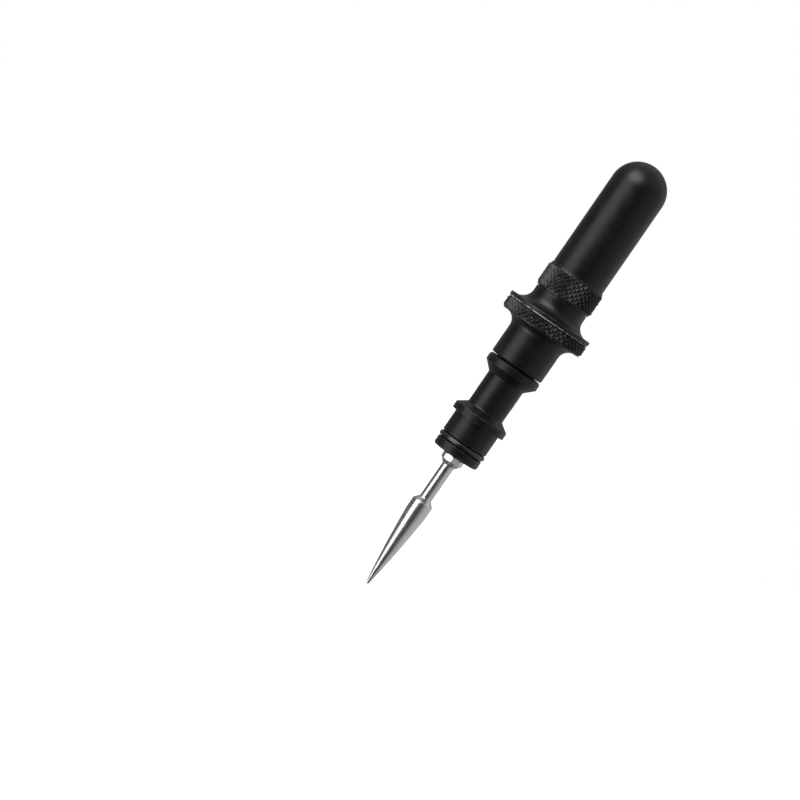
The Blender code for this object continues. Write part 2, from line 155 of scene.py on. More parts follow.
def thread(name, crest_r, pitch, low, high):
    """A right-handed 60 degree thread between two heights, cut square there and chamfered at its tip.

    Its tooth is given as heights in shares of one pitch. It starts two turns low, to be cut back.
    """
    depth = 0.61 * pitch
    early_turns = 2
    turn_steps = 40
    root_r = crest_r - depth
    tooth = [(root_r, 0), (root_r, 0.12), (crest_r, 0.46), (crest_r, 0.6), (root_r, 0.94), (root_r, 1)]
    piece = draw(name, [(r, low + (z - early_turns) * pitch) for r, z in tooth])
    bpy.ops.object.mode_set(mode="OBJECT")
    screw = piece.modifiers.new("screw", "SCREW")
    screw.screw_offset = pitch * MM
    screw.iterations = int((high - low) / pitch) + 2 * early_turns + 1
    screw.steps = turn_steps
    screw.render_steps = turn_steps
    bpy.ops.object.modifier_apply(modifier=screw.name)
    bpy.ops.object.mode_set(mode="EDIT")
    bpy.ops.mesh.select_all(action="SELECT")
    bpy.ops.mesh.remove_doubles(threshold=weld)
    square = {"plane_no": (0, 0, 1), "use_fill": True, "threshold": cut_grip}
    bpy.ops.mesh.bisect(plane_co=(0, 0, low * MM), clear_inner=True, **square)
    bpy.ops.mesh.select_all(action="SELECT")
    bpy.ops.mesh.bisect(plane_co=(0, 0, high * MM), clear_outer=True, **square)
    bpy.ops.mesh.select_all(action="SELECT")
    bpy.ops.mesh.normals_make_consistent(inside=False)
    bpy.ops.object.mode_set(mode="OBJECT")
    clear = 1
    tip_r = root_r - 0.1
    wide = crest_r + clear
    end = high + 0.02
    blank = [(0, low - clear), (wide, low - clear), (wide, high + tip_r - wide), (tip_r, end), (0, end)]
    return combine(piece, turned("blank", blank, facets=turn_steps), "INTERSECT")


def bar(name, sides, flats, low, high):
    """A short bar with flat sides, its corners turned off in a chamfer as on a nut.

    The blank's ends stand clear of the bar's, because the join fails now and then on faces in one plane.
    """
    deselect()
    corner_r = flats / 2 / cos(pi / sides)
    half_way = (0, 0, (low + high) / 2 * MM)
    length = (high - low) * MM
    bpy.ops.mesh.primitive_cylinder_add(vertices=sides, radius=corner_r * MM, depth=length, location=half_way)
    piece = bpy.context.object
    piece.name = name
    bpy.ops.object.transform_apply(location=True)
    chamfer_slope = 1.25
    clear = 1
    face_r = flats / 2 - 0.05
    wide = corner_r + 0.02
    fall = (corner_r - flats / 2) * chamfer_slope
    tip_r = face_r - (wide - face_r) / fall * clear
    blank = [
        (0, low - clear), (tip_r, low - clear), (wide, low + fall),
        (wide, high - fall), (tip_r, high + clear), (0, high + clear),
    ]
    return combine(piece, turned("blank", blank, facets=96), "INTERSECT")


def linear(code):
    """A linear colour from an sRGB hex code, by the sRGB standard's own curve."""
    parts = [int(code[i:i + 2], 16) / 255 for i in (1, 3, 5)]
    return (*[c / 12.92 if c <= 0.04045 else ((c + 0.055) / 1.055) ** 2.4 for c in parts], 1.0)


def node(material, kind, inputs=None, **settings):
    """Adds a shader node to a material with its settings and inputs, each a value or a socket to link."""
    made = material.node_tree.nodes.new("ShaderNode" + kind)
    for name, value in settings.items():
        setattr(made, name, value)
    for name, value in (inputs or {}).items():
        if isinstance(value, bpy.types.NodeSocket):
            material.node_tree.links.new(value, made.inputs[name])
        else:
            made.inputs[name].default_value = value
    return made


def hand_over(piece, body, material, slot, *nodes):
    """Gives a piece its finish and body, and has it stand for its CAD nodes."""
    deselect()
    smooth(piece)
    piece.data.materials.clear()
    piece.data.materials.append(material)
    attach(piece, body)
    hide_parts(*nodes)


# Stainless steel, polished on the lathe: bright, with soft-edged reflections that run along it, faint
# rings from the polishing cloth, 3.3 to a millimetre and so coarser than the real ones to show at all,
# and dull smears of about 3 mm from handling.
polished_steel = bpy.data.materials.new("polished_stainless_steel")
polished_steel.use_nodes = True
steel_shader = polished_steel.node_tree.nodes["Principled BSDF"]
steel_place = node(polished_steel, "TexCoord")
steel_ring_scale = node(polished_steel, "Mapping", {"Vector": steel_place.outputs["Object"],
                                                    "Scale": (0.06 / MM, 0.06 / MM, 3.3 / MM)})
steel_rings = node(polished_steel, "TexNoise", {"Vector": steel_ring_scale.outputs[0], "Scale": 1.0,
                                                "Detail": 3.0})
steel_smears = node(polished_steel, "TexNoise", {"Vector": steel_place.outputs["Object"],
                                                 "Scale": 0.35 / MM, "Detail": 4.0})
steel_tone = node(polished_steel, "ValToRGB", {"Fac": steel_smears.outputs["Fac"]})
steel_tone.color_ramp.elements[0].color = linear("#b9babd")
steel_tone.color_ramp.elements[1].color = linear("#cfd0d2")
steel_gloss = node(polished_steel, "MapRange", {"Value": steel_smears.outputs["Fac"], "From Min": 0.3,
                                                "From Max": 0.75, "To Min": 0.19, "To Max": 0.31})
steel_bump = node(polished_steel, "Bump", {"Height": steel_rings.outputs["Fac"], "Strength": 0.1,
                                           "Distance": 0.02 * MM})
polished_steel.node_tree.links.new(steel_tone.outputs[0], steel_shader.inputs["Base Color"])
polished_steel.node_tree.links.new(steel_gloss.outputs[0], steel_shader.inputs["Roughness"])
polished_steel.node_tree.links.new(steel_bump.outputs[0], steel_shader.inputs["Normal"])
steel_shader.inputs["Metallic"].default_value = 1.0

# Heights are above the awl's point. joint_gap is what a squeezed O-ring leaves between two faces.
screw_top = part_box("awl")[1].z / MM
joint_gap = 0.15
seat_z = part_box("holder")[0].z / MM - joint_gap
collar_z = seat_z - 1.8
collar_flats = 6.0
collar_root_r = 2.95
collar_sink = 0.3
band_z = 23.7
band_top = band_z + 3.2
neck_z = band_z + 4.6
neck_top_z = collar_z - 1.2
band_r = 3.1
neck_r = 1.82
point_r = 0.55
swell = 0.86
taper_steps = 24
m4_crest_r = 1.93
m4_pitch = 0.7
thread_sink = 0.9

# The rounded tip, then an ogive that swells out from a straight cone by up to a quarter of swell.
awl_outline = [(0, 0), (0.21, 0.04), (0.39, 0.16), (0.51, 0.34)]
for i in range(taper_steps + 1):
    t = i / taper_steps
    taper_r = point_r + (band_r - point_r) * t + swell * t * (1 - t)
    awl_outline.append((taper_r, point_r + (band_z - point_r) * t))
awl_outline += rounded([
    (band_r, band_z, 0), (band_r, band_top, 0.3), (neck_r, neck_z, 0.4), (neck_r, neck_top_z, 0.6),
    (collar_root_r, collar_z + 0.02, 0), (collar_root_r, seat_z - collar_sink, 0),
    (0, seat_z - collar_sink, 0),
])
awl = turned("awl_body", awl_outline, facets=72)
collar = bar("awl_collar", sides=8, flats=collar_flats, low=collar_z, high=seat_z)
combine(awl, collar, "UNION")
screw = thread("awl_thread", m4_crest_r, m4_pitch, low=seat_z - thread_sink, high=screw_top)
combine(awl, screw, "UNION")
hand_over(awl, "awl", polished_steel, "polished_steel", "awl")


# ---- Seals --------------------------------------------------------------------------------------
# Five O-rings of black nitrile rubber, moulded in two halves with a hair of flash round the middle.
# The large one on the holder's spigot grips a push-on cover, the others keep the water out of the
# joints and stop the screwed pieces from working loose.

# Nitrile rubber, moulded and lightly oiled: black, smooth and a little glossy, with a faint bloom in
# patches of about 2 mm and a moulded grain of 0.2 mm.
nitrile_rubber = bpy.data.materials.new("moulded_nitrile_rubber")
nitrile_rubber.use_nodes = True
rubber_shader = nitrile_rubber.node_tree.nodes["Principled BSDF"]
rubber_place = node(nitrile_rubber, "TexCoord")
rubber_bloom = node(nitrile_rubber, "TexNoise", {"Vector": rubber_place.outputs["Object"],
                                                 "Scale": 0.45 / MM, "Detail": 5.0})
rubber_tone = node(nitrile_rubber, "ValToRGB", {"Fac": rubber_bloom.outputs["Fac"]})
rubber_tone.color_ramp.elements[0].position = 0.35
rubber_tone.color_ramp.elements[0].color = linear("#0b0b0c")
rubber_tone.color_ramp.elements[1].position = 0.75
rubber_tone.color_ramp.elements[1].color = linear("#1a1a1b")
rubber_gloss = node(nitrile_rubber, "MapRange", {"Value": rubber_bloom.outputs["Fac"], "From Min": 0.3,
                                                 "From Max": 0.75, "To Min": 0.22, "To Max": 0.4})
rubber_grain = node(nitrile_rubber, "TexNoise", {"Vector": rubber_place.outputs["Object"],
                                                 "Scale": 5 / MM})
rubber_bump = node(nitrile_rubber, "Bump", {"Height": rubber_grain.outputs["Fac"], "Strength": 0.15,
                                            "Distance": 0.02 * MM})
nitrile_rubber.node_tree.links.new(rubber_tone.outputs[0], rubber_shader.inputs["Base Color"])
nitrile_rubber.node_tree.links.new(rubber_gloss.outputs[0], rubber_shader.inputs["Roughness"])
nitrile_rubber.node_tree.links.new(rubber_bump.outputs[0], rubber_shader.inputs["Normal"])
rubber_shader.inputs["IOR"].default_value = 1.52


def o_ring(node_name, body, section_r):
    """An O-ring on the place of its CAD node, with its mould's flash line on the outside and inside."""
    section_steps = 36
    play = 0.02
    flash_height = 0.015
    low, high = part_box(node_name)
    mid_z = (low.z + high.z) / 2 / MM
    centre_r = high.x / MM - section_r
    section = []
    for s in range(section_steps + 1):
        a = 2 * pi * s / section_steps
        flash = flash_height if s % (section_steps / 2) == 0 else 0
        r = section_r - play + flash
        section.append((centre_r + r * cos(a), mid_z + r * sin(a)))
    small_ring_r = 4
    facets = 160 if centre_r > small_ring_r else 72
    hand_over(turned(node_name + "_moulded", section, facets), body, nitrile_rubber, "seal_rubber", node_name)


o_ring("awl_o_ring", "awl_seal", 0.3)
o_ring("spigot_o_ring", "holder", 0.82)
o_ring("joint_o_ring", "joint_seal", 0.45)
o_ring("cap_o_ring", "hub", 0.6)
o_ring("fork_o_ring", "fork_seal", 0.3)


# ---- Holder -------------------------------------------------------------------------------------
# A spool of aluminium, turned from 16 mm bar, bead blasted and anodised black. The awl screws into its
# lower end, its bore stores spare plugs, and the hub closes it over the M12 thread at its upper end.

# Black anodised aluminium: a dyed oxide skin that clouds over about 6 mm, matt from bead blasting, with
# a grain of 0.25 mm, drawn coarser than the real one so that it shows, and a paler metal shine where
# handling has worn its edges, in scuffs of about 1 mm. The same pale colour is a painted highlight on
# the hub's thin lip over its knurl.
anodised = bpy.data.materials.new("bead_blasted_black_anodised_aluminium")
anodised.use_nodes = True
anodised_shader = anodised.node_tree.nodes["Principled BSDF"]
anodised_place = node(anodised, "TexCoord")
anodised_cloud = node(anodised, "TexNoise", {"Vector": anodised_place.outputs["Object"],
                                             "Scale": 0.16 / MM, "Detail": 6.0, "Roughness": 0.6})
anodised_tone = node(anodised, "ValToRGB", {"Fac": anodised_cloud.outputs["Fac"]})
anodised_tone.color_ramp.elements[0].position = 0.3
anodised_tone.color_ramp.elements[0].color = linear("#040405")
anodised_tone.color_ramp.elements[1].position = 0.75
anodised_tone.color_ramp.elements[1].color = linear("#0c0c0d")
# This edge mark holds the wear on sharp edges and, on the hub's thin lip, a painted highlight; where it is
# set, the pale grey is mixed into the black.
wear_and_sheen = node(anodised, "Attribute", attribute_name="wear_and_sheen")
scuffs = node(anodised, "TexNoise", {"Vector": anodised_place.outputs["Object"], "Scale": 0.9 / MM,
                                     "Detail": 5.0})
wear_and_sheen_patch = node(anodised, "MapRange", {"Value": scuffs.outputs["Fac"], "From Min": 0.42, "From Max": 0.7,
                                         "To Min": 0.05, "To Max": 1.0})
wear_and_sheen_mask = node(anodised, "Math", {0: wear_and_sheen.outputs["Fac"], 1: wear_and_sheen_patch.outputs[0]}, operation="MULTIPLY")
wear_and_sheen_share = node(anodised, "Math", {0: wear_and_sheen_mask.outputs[0], 1: 0.12}, operation="MULTIPLY")
anodised_colour = node(anodised, "MixRGB", {"Fac": wear_and_sheen_share.outputs[0], "Color1": anodised_tone.outputs[0],
                                            "Color2": linear("#85868a")})
anodised_gloss = node(anodised, "MapRange", {"Value": anodised_cloud.outputs["Fac"], "From Min": 0.3,
                                             "From Max": 0.7, "To Min": 0.34, "To Max": 0.43})
blast_grain = node(anodised, "TexNoise", {"Vector": anodised_place.outputs["Object"], "Scale": 4 / MM,
                                          "Detail": 2.0})
blast_bump = node(anodised, "Bump", {"Height": blast_grain.outputs["Fac"], "Strength": 0.5,
                                     "Distance": 0.03 * MM})
anodised.node_tree.links.new(anodised_colour.outputs[0], anodised_shader.inputs["Base Color"])
anodised.node_tree.links.new(anodised_gloss.outputs[0], anodised_shader.inputs["Roughness"])
anodised.node_tree.links.new(blast_bump.outputs[0], anodised_shader.inputs["Normal"])
anodised_shader.inputs["IOR"].default_value = 1.5
anodised_shader.inputs["Specular IOR Level"].default_value = 0.28


def mark_worn_edges(piece):
    """Writes 1 on the points of every outer edge that is sharp enough, for the finish to wear there."""
    sharp = radians(6)
    mesh = piece.data
    shape = bmesh.new()
    shape.from_mesh(mesh)
    mark = shape.verts.layers.float.new("wear_and_sheen")
    for edge in shape.edges:
        if edge.is_manifold and edge.calc_face_angle_signed() > sharp:
            for point in edge.verts:
                point[mark] = 1.0
    shape.to_mesh(mesh)
    shape.free()


# The tenon is the plain core that the M12 thread is cut round, and the store is the bore for the plugs.
end_z = 42.25
step_z = end_z + 0.8
tap_z = 48.85
drill_tip_z = 49.45
groove_low = 44.98
groove_high = 46.72
groove_lip = 0.13
flange_low = 53.15
flange_high = 55.3
waist_low = 57.0
waist_high = 66.8
rim_low = 69.25
rim_high = 71.0
rim_z = 71.5
tenon_z = 79.0
tenon_tip_z = 79.4
m4_bore_r = 2.05
counterbore_r = 2.85
spigot_r = 6.92
groove_r = spigot_r - 1.5
flange_r = 8.18
waist_r = 5.53
rim_r = 8.08
rim_face_r = 7.55
tenon_r = 5.0
store_r = 4.2
store_z = 50.6
m12_crest_r = 5.85
m12_pitch = 1.0
m12_relief = 1.1
holder_outline = rounded([
    (0, drill_tip_z, 0), (m4_bore_r, tap_z, 0), (m4_bore_r, step_z, 0), (counterbore_r, step_z, 0),
    (counterbore_r, end_z, 0.1), (spigot_r, end_z, 0.6),
    (spigot_r, groove_low - groove_lip, 0.12), (groove_r, groove_low, 0.2),
    (groove_r, groove_high, 0.2), (spigot_r, groove_high + groove_lip, 0.12),
    (spigot_r, flange_low, 0.25), (flange_r, flange_low, 0.18),
    (flange_r, flange_high, 0.18), (flange_r - 0.22, flange_high + 0.02, 0.1),
    (waist_r, waist_low, 0.7), (waist_r, waist_high, 0.7), (rim_r, rim_low, 0.15), (rim_r, rim_high, 0.12),
    (rim_face_r, rim_z, 0.1), (tenon_r, rim_z, 0.1), (tenon_r, tenon_z, 0), (0, tenon_z, 0),
])
holder = turned("holder_spool", holder_outline, facets=144)
tenon_thread = thread("holder_thread", m12_crest_r, m12_pitch, low=rim_z + m12_relief, high=tenon_tip_z)
combine(holder, tenon_thread, "UNION")
store_outline = [
    (0, store_z), (store_r, store_z), (store_r, tenon_z), (store_r + 0.5, tenon_z + 0.5),
    (store_r + 0.5, tenon_z + 2), (0, tenon_z + 2),
]
combine(holder, turned("store", store_outline, facets=96), "DIFFERENCE")
mark_worn_edges(holder)
hand_over(holder, "holder", anodised, "black_anodised_aluminium", "holder")


# ---- Spare plugs --------------------------------------------------------------------------------
# Five short lengths of tyre repair rope, three strands of cotton laid together and soaked in tacky
# brown rubber, cut square and stood in the holder's bore.

# Rubber-soaked rope: dark brown and tacky, with tangled fibres of about 0.3 mm, drawn coarser than the
# real ones so that they show, and drier patches of 2 mm.
plug_rope = bpy.data.materials.new("rubber_soaked_repair_rope")
plug_rope.use_nodes = True
rope_shader = plug_rope.node_tree.nodes["Principled BSDF"]
rope_place = node(plug_rope, "TexCoord")
rope_fibres = node(plug_rope, "TexNoise", {"Vector": rope_place.outputs["Object"], "Scale": 3.5 / MM,
                                           "Detail": 4.0})
rope_patches = node(plug_rope, "TexNoise", {"Vector": rope_place.outputs["Object"], "Scale": 0.5 / MM,
                                            "Detail": 3.0})
rope_mix = node(plug_rope, "Math", {0: rope_fibres.outputs["Fac"], 1: rope_patches.outputs["Fac"]},
                operation="ADD")
rope_level = node(plug_rope, "Math", {0: rope_mix.outputs[0], 1: 0.5}, operation="MULTIPLY")
rope_tone = node(plug_rope, "ValToRGB", {"Fac": rope_level.outputs[0]})
rope_tone.color_ramp.elements[0].position = 0.35
rope_tone.color_ramp.elements[0].color = linear("#2e1a0f")
rope_tone.color_ramp.elements[1].position = 0.65
rope_tone.color_ramp.elements[1].color = linear("#7a4f2e")
rope_gloss = node(plug_rope, "MapRange", {"Value": rope_patches.outputs["Fac"], "From Min": 0.3,
                                          "From Max": 0.7, "To Min": 0.4, "To Max": 0.75})
rope_bump = node(plug_rope, "Bump", {"Height": rope_fibres.outputs["Fac"], "Strength": 0.6,
                                     "Distance": 0.08 * MM})
plug_rope.node_tree.links.new(rope_tone.outputs[0], rope_shader.inputs["Base Color"])
plug_rope.node_tree.links.new(rope_gloss.outputs[0], rope_shader.inputs["Roughness"])
plug_rope.node_tree.links.new(rope_bump.outputs[0], rope_shader.inputs["Normal"])


def rope(name, path, rope_r, lay):
    """Three strands twisted round a path of millimetre points, one turn to each length of lay."""
    strands = 3
    strand_r = rope_r * 0.47
    play = 0.02
    offset = rope_r - strand_r - play
    line = bpy.data.curves.new(name, "CURVE")
    line.dimensions = "3D"
    line.bevel_depth = strand_r * MM
    line.bevel_resolution = 2
    line.use_fill_caps = True
    for strand in range(strands):
        spline = line.splines.new("POLY")
        spline.points.add(len(path) - 1)
        run = 0
        for i, point in enumerate(path):
            run += (point - path[i - 1]).length if i else 0
            along = (path[min(i + 1, len(path) - 1)] - path[max(i - 1, 0)]).normalized()
            side = Vector((1, 0, 0))
            other = along.cross(side)
            a = 2 * pi * (run / lay + strand / strands)
            place = point + (side * cos(a) + other * sin(a)) * offset
            spline.points[i].co = (*(place * MM), 1)
    deselect()
    piece = bpy.data.objects.new(name, line)
    bpy.context.collection.objects.link(piece)
    piece.select_set(True)
    bpy.context.view_layer.objects.active = piece
    bpy.ops.object.convert(target="MESH")
    bpy.ops.object.mode_set(mode="EDIT")
    bpy.ops.mesh.select_all(action="SELECT")
    bpy.ops.mesh.remove_doubles(threshold=weld / 4)
    bpy.ops.mesh.normals_make_consistent(inside=False)
    bpy.ops.object.mode_set(mode="OBJECT")
    return piece


spare_count = 5
spare_r = 1.38
spare_lay = 6.0
spare_length = 28.16
spare_steps = 70
spare_ring_r = 2.62
spare_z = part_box("spare_plug_1")[0].z / MM + 0.02
spare_path = []
for i in range(spare_steps + 1):
    spare_path.append(Vector((spare_ring_r, 0, spare_z + spare_length * i / spare_steps)))
spare = rope("spare_plug", spare_path, spare_r, spare_lay)
for number in range(1, spare_count + 1):
    deselect()
    copy = spare.copy()
    copy.data = spare.data.copy()
    copy.name = "spare_rope_%d" % number
    bpy.context.collection.objects.link(copy)
    copy.select_set(True)
    bpy.context.view_layer.objects.active = copy
    copy.rotation_euler = (0, 0, 2 * pi * (number - 1) / spare_count)
    bpy.ops.object.transform_apply(rotation=True)
    hand_over(copy, "holder", plug_rope, "plug_rubber", "spare_plug_%d" % number)
bpy.data.objects.remove(spare)


# ---- Hub ----------------------------------------------------------------------------------------
# The hand stop, turned from 26 mm bar: the user pushes on its knurled flange, which flows into the
# straight bodies above and below in two hollow sweeps. Its bore takes the holder's thread, and its
# upper spigot takes the fork and the cap. Bead blasted and anodised as the holder.


def sweep_arc(centre_r, centre_z, bend, start, end, steps):
    """Points of an arc from one angle to another, both in degrees."""
    angles = [radians(start + (end - start) * s / steps) for s in range(steps + 1)]
    return [(centre_r + bend * cos(a), centre_z + bend * sin(a)) for a in angles]


# A knurl's diamonds are as high as one cell of its band, and as wide as one of its columns.
knurl_cell = 1.6


def knurled(name, below, above, valley_r, low, rows, columns, facets, height):
    """A turned piece with a band of pressed diamond knurling.

    The band is spun as a grid of cells. Edges are dissolved and faces poked until it is a lattice of
    diamonds, half diamonds at its two ends, and each diamond is then inset and raised to a blunt point.
    """
    near = 0.1
    end_play = 0.01
    middle_play = 0.02
    wall_play = 0.08
    band = [(valley_r, low + knurl_cell * i) for i in range(rows + 1)]
    piece = draw(name, below + band + above)
    bpy.ops.mesh.spin(steps=facets, angle=2 * pi, center=(0, 0, 0), axis=(0, 0, 1))
    bpy.ops.mesh.select_all(action="SELECT")
    bpy.ops.mesh.remove_doubles(threshold=weld)
    bpy.ops.mesh.normals_make_consistent(inside=False)
    bpy.context.tool_settings.mesh_select_mode = (False, True, True)
    column_angle = 2 * pi / columns

    def place(point):
        """Whether a point is in the band, its row, and how far it is from a column's line."""
        r = hypot(point.co.x, point.co.y) / MM
        z = point.co.z / MM
        row = (z - low) / knurl_cell
        turn = atan2(point.co.y, point.co.x) / column_angle
        inside = abs(r - valley_r) < wall_play and -end_play < row < rows + end_play
        return inside, row, abs(turn - round(turn))

    def pick(choose):
        """Selects the edges of the band for which choose is true of their two ends' places."""
        bpy.ops.mesh.select_all(action="DESELECT")
        mesh = bmesh.from_edit_mesh(piece.data)
        for edge in mesh.edges:
            a = place(edge.verts[0])
            b = place(edge.verts[1])
            if a[0] and b[0] and choose(a, b):
                edge.select = True
        bmesh.update_edit_mesh(piece.data)

    def on_row(a):
        """Whether a place is on a line between rows, and not in the middle of a row."""
        return abs(a[1] - round(a[1])) < near

    def at_end(a):
        """Whether a place is on the band's lower or upper end."""
        return a[1] < near or a[1] > rows - near

    def between_columns(a, b):
        """Whether an edge runs up the band away from the columns' lines."""
        return abs(a[1] - b[1]) > 0.5 and a[2] > near

    def inner_ring(a, b):
        """Whether an edge runs round the band on a line between two rows."""
        return on_row(a) and on_row(b) and not (abs(a[1] - b[1]) < near and at_end(a))

    def spoke(a, b):
        """Whether an edge joins a cell's middle to a point on its rim that is off the columns' lines."""
        return on_row(a) != on_row(b) and (a[2] if on_row(a) else b[2]) > near

    pick(between_columns)
    bpy.ops.mesh.dissolve_edges(use_verts=True)
    bpy.ops.mesh.select_all(action="DESELECT")
    mesh = bmesh.from_edit_mesh(piece.data)
    for face in mesh.faces:
        face.select = all(place(point)[0] for point in face.verts) and len(face.verts) >= 4
    bmesh.update_edit_mesh(piece.data)
    bpy.ops.mesh.poke()
    pick(inner_ring)
    bpy.ops.mesh.dissolve_edges(use_verts=False)
    pick(spoke)
    bpy.ops.mesh.dissolve_edges(use_verts=False)
    diamond_inset = 0.42
    half_inset = 0.24
    for whole, inset, rise in ((True, diamond_inset, height), (False, half_inset, height * 0.5)):
        bpy.ops.mesh.select_all(action="DESELECT")
        mesh = bmesh.from_edit_mesh(piece.data)
        for face in mesh.faces:
            places = [place(point) for point in face.verts]
            ends = sum(1 for a in places if at_end(a))
            flat = all(a[0] for a in places) and not all(on_row(a) for a in places)
            fresh = any(abs(a[1] * 2 - round(a[1] * 2)) < middle_play for a in places)
            face.select = flat and fresh and (ends < 2) == whole and len(face.verts) >= 4
        bmesh.update_edit_mesh(piece.data)
        bpy.ops.mesh.inset(thickness=inset * MM, depth=rise * MM, use_individual=True)
    bpy.context.tool_settings.mesh_select_mode = (True, False, False)
    bpy.ops.object.mode_set(mode="OBJECT")
    return piece


foot_z = 71.8
relief_z = foot_z + 0.95
foot_chamfer = 0.32
bore_top_z = 80.5
flange_z = 83.35
band_low = flange_z + 0.33
lip_low = 86.9
lip_step = 87.18
lip_notch = 87.24
lip_high = 87.34
stop_top_z = 88.3
shoulder_z = 93.475
seal_shelf_z = shoulder_z + 0.13
seal_low = 96.28
seal_high = 97.72
seal_lip = 0.15
crown_z = 100.5
crown_rim_z = 100.0
fork_counterbore_z = 99.7
fork_bore_z = 93.9
fork_drill_tip_z = 93.3
hub_bore_r = 6.1
relief_r = 7.15
foot_r = 7.68
body_r = 8.0
under_sweep = 3.2
top_sweep = 3.44
stop_r = 12.8
stop_valley_r = stop_r - 0.5
lip_r = stop_r - 0.02
upper_r = 7.7
cap_spigot_r = 6.6
crown_r = 6.1
seal_root_r = 5.45
hub_below = rounded([
    (0, bore_top_z, 0), (hub_bore_r, bore_top_z, 0), (hub_bore_r, relief_z, 0), (relief_r, relief_z, 0),
    (relief_r, foot_z, 0.1), (foot_r, foot_z, 0.1), (body_r, foot_z + foot_chamfer, 0.1),
    (body_r, foot_z + 4, 0),
])
hub_below += sweep_arc(body_r + under_sweep, flange_z - under_sweep, under_sweep, 180, 90, 24)
hub_below += [(12.0, flange_z), (12.14, flange_z + 0.04), (12.26, flange_z + 0.14)]
hub_above = rounded([
    (stop_valley_r, lip_low, 0), (stop_r - 0.08, lip_low + 0.03, 0.02), (stop_r - 0.2, lip_step, 0.02),
    (stop_r - 0.42, lip_notch, 0.02), (lip_r, lip_high, 0.05), (lip_r, stop_top_z, 0.25),
    (body_r + top_sweep, stop_top_z, 0),
])[:-1]
hub_above += sweep_arc(body_r + top_sweep, stop_top_z + top_sweep, top_sweep, 270, 180, 24)
hub_above += rounded([
    (body_r, 91.9, 0), (body_r, shoulder_z, 0.12), (upper_r, shoulder_z, 0.02),
    (upper_r, seal_shelf_z, 0), (cap_spigot_r, seal_shelf_z, 0.1),
    (cap_spigot_r, seal_low - seal_lip, 0.12), (seal_root_r, seal_low, 0.15),
    (seal_root_r, seal_high, 0.15), (cap_spigot_r, seal_high + seal_lip, 0.12),
    (cap_spigot_r, crown_rim_z, 0.15), (crown_r, crown_z, 0.15), (counterbore_r, crown_z, 0.1),
    (counterbore_r, fork_counterbore_z, 0), (m4_bore_r, fork_counterbore_z, 0),
    (m4_bore_r, fork_bore_z, 0), (0, fork_drill_tip_z, 0),
])
hub = knurled("hub_hand_stop", hub_below, hub_above, stop_valley_r, band_low,
              rows=2, columns=48, facets=144, height=0.44)
mark_worn_edges(hub)

# The thin lip over the knurl gets a painted highlight all round: the pale worn-edge colour stands in for
# the bright line that its chamfer catches from the softboxes. It is marked far past the 1 of other edges, so
# that no patch of it stays black.
painted_lip_highlight = 24.0
for point, mark in zip(hub.data.vertices, hub.data.attributes["wear_and_sheen"].data):
    on_lip = lip_low + 0.05 < point.co.z / MM < lip_high - 0.06
    if on_lip and hypot(point.co.x, point.co.y) / MM > stop_valley_r:
        mark.value = painted_lip_highlight
hand_over(hub, "hub", anodised, "black_anodised_aluminium", "hub")


# ---- Fork and loaded plug -----------------------------------------------------------------------
# A slotted needle of polished steel on a hexagon for a 5.5 mm spanner, screwed into the hub. A rope
# plug is pulled through its slot and folded down both sides, ready to be pushed into a puncture.

fork_low, fork_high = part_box("fork")
hex_low = crown_z + joint_gap
hex_high = hex_low + 2.0
hex_flats = 5.5
hex_sink = 0.3
needle_r = 1.75
tip_z = fork_high.z / MM
slot_low = tip_z - 9.0
slot_half = 0.85
needle = rounded([
    (0, hex_low + hex_sink, 0), (needle_r, hex_low + hex_sink, 0), (needle_r, tip_z - 2.2, 1.5),
    (1.35, tip_z - 0.35, 0.3), (0.9, tip_z, 0.2), (0, tip_z, 0),
])
fork = turned("fork_needle", needle, facets=72)
hexagon = bar("fork_hexagon", sides=6, flats=hex_flats, low=hex_low, high=hex_high)
combine(fork, hexagon, "UNION")
fork_screw = thread("fork_thread", m4_crest_r, m4_pitch, low=fork_low.z / MM, high=hex_low + 0.4)
combine(fork, fork_screw, "UNION")

# The slot's cutter is a round bar across the needle, split at its middle, its upper half drawn up and
# out through the needle's tip.
deselect()
bpy.ops.mesh.primitive_cylinder_add(vertices=40, radius=slot_half * MM, depth=6 * MM,
                                    location=(0, 0, slot_low * MM), rotation=(pi / 2, 0, 0))
slot = bpy.context.object
bpy.ops.object.transform_apply(location=True, rotation=True)
bpy.ops.object.mode_set(mode="EDIT")
bpy.ops.mesh.select_all(action="SELECT")
bpy.ops.mesh.bisect(plane_co=(0, 0, slot_low * MM), plane_no=(0, 0, 1), threshold=cut_grip)
slot_points = bmesh.from_edit_mesh(slot.data)
for point in slot_points.verts:
    above_middle = point.co.z > (slot_low + 0.01) * MM
    if above_middle:
        point.co.z = (tip_z + 3) * MM
        point.co.x = slot_half * MM * (1 if point.co.x > 0 else -1)
bmesh.update_edit_mesh(slot.data)
bpy.ops.mesh.select_all(action="SELECT")
bpy.ops.mesh.remove_doubles(threshold=weld / 2)
bpy.ops.mesh.dissolve_degenerate(threshold=weld / 2)
bpy.ops.mesh.normals_make_consistent(inside=False)
bpy.ops.object.mode_set(mode="OBJECT")
combine(fork, slot, "DIFFERENCE")
hand_over(fork, "fork", polished_steel, "polished_steel", "fork")

